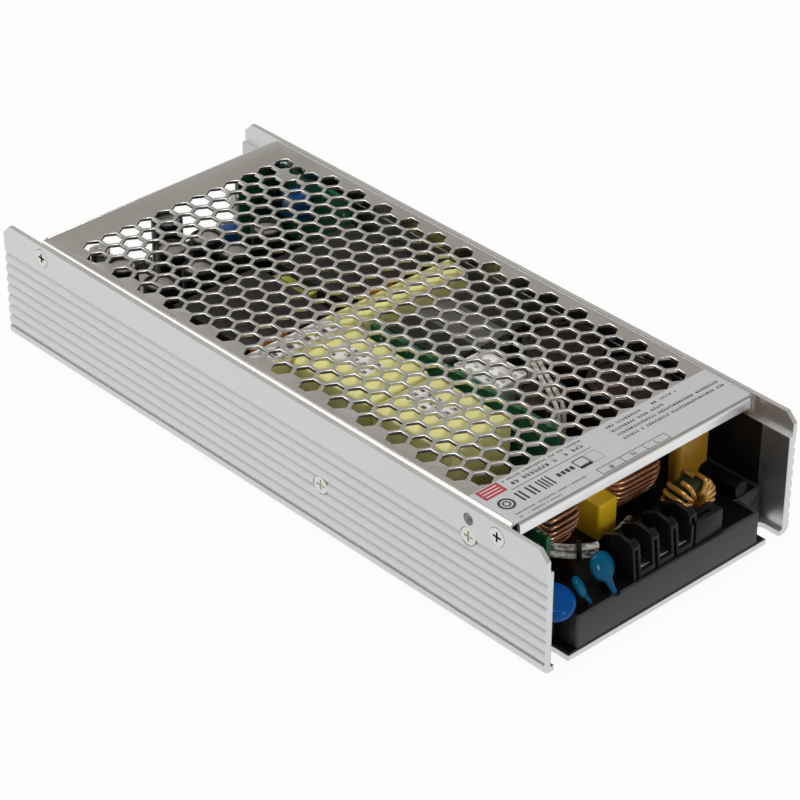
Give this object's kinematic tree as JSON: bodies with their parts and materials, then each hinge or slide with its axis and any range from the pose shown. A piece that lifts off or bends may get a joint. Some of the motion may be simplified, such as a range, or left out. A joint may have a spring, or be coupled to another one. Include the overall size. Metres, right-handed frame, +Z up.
{
  "type": "enclosed switching power supply",
  "caption": "Long flat power supply: ribbed aluminium case, hexagon-mesh cover, components potted in a tray, barrier terminals at one end and output bars at the other.",
  "frame": {"origin": "centre of the case's underside, on the surface it stands on", "axes": "+X across the case, +Y along it from the mains end to the output end, +Z up"},
  "size_m": [0.1, 0.237, 0.041],
  "materials": {
    "case_metal": "satin anodised extrusion",
    "cover_metal": "satin punched and folded sheet",
    "screw_steel": "zinc-plated steel",
    "film_black": "thin insulating film",
    "tray_plastic": "moulded, dark grey",
    "board_green": "solder-masked glass-fibre board",
    "potting_black": "poured resin, wet-looking black",
    "block_black": "moulded, black",
    "terminal_metal": "tinned",
    "ferrite_green": "coated ring core",
    "ferrite_grey": "fired ferrite",
    "enamel_yellow": "enamelled wire, amber",
    "enamel_copper": "enamelled copper wire",
    "sleeve_white": "woven sleeve band",
    "box_yellow": "moulded box, yellow",
    "box_amber": "taped body, amber",
    "disc_teal": "dipped coating, teal",
    "disc_blue": "dipped coating, blue",
    "fuse_sleeve": "shrunk sleeve over the tube",
    "bridge_black": "moulded, black",
    "relay_white": "moulded box, off-white",
    "tape_cream": "polyester tape, pale yellow",
    "tape_olive": "polyester tape, yellow-green",
    "tape_grey": "polyester tape, dark grey",
    "can_aluminium": "drawn can",
    "can_sleeve": "shrunk sleeve, black",
    "foil_copper": "bare copper strip",
    "film_blue": "moulded box, blue",
    "header_cream": "moulded connector",
    "lens_green": "clear green lens",
    "clamp_metal": "plain spring steel"
  },
  "bodies": {
    "root": {"case_extrusion": "case_metal", "top_cover": "cover_metal", "cover_screws": "screw_steel", "wall_screws": "screw_steel", "bridge_screw": "screw_steel", "bridge_nut": "screw_steel", "wall_film": "film_black", "base_film": "film_black", "potting_tray": "tray_plastic", "tray_nose": "tray_plastic", "main_board": "board_green", "potting": "potting_black", "potting_nose": "potting_black", "input_block": "block_black", "input_screws": "terminal_metal", "input_clamps": "terminal_metal", "common_choke_core": "ferrite_green", "common_choke_wire": "enamel_yellow", "left_choke_core": "ferrite_grey", "left_choke_wire": "enamel_copper", "sleeved_leads": "sleeve_white", "right_choke_core": "ferrite_grey", "right_choke_wire": "enamel_copper", "x_capacitor_front": "box_yellow", "x_capacitor_rear": "box_amber", "y_capacitors": "disc_teal", "varistor": "disc_blue", "fuse_tube": "fuse_sleeve", "fuse_caps": "terminal_metal", "bridge_rectifier": "bridge_black", "input_board": "board_green", "relay": "relay_white", "control_board": "board_green", "boost_inductors": "tape_cream", "boost_bobbins": "block_black", "bulk_cans": "can_aluminium", "bulk_sleeves": "can_sleeve", "resonant_core": "ferrite_grey", "resonant_tape": "tape_grey", "isolation_bar": "tape_cream", "transformer_cores": "ferrite_grey", "transformer_tape": "tape_olive", "transformer_foils": "foil_copper", "output_cans": "can_aluminium", "output_sleeves": "can_sleeve", "film_capacitor": "film_blue", "trimmer": "film_blue", "output_board": "board_green", "signal_board": "board_green", "signal_header": "header_cream", "indicator": "lens_green", "output_base": "block_black", "output_bars": "terminal_metal", "output_screws": "terminal_metal", "left_transistors": "bridge_black", "left_clamp": "clamp_metal", "right_transistors": "bridge_black", "right_clamp": "clamp_metal"}
  },
  "joints": []
}
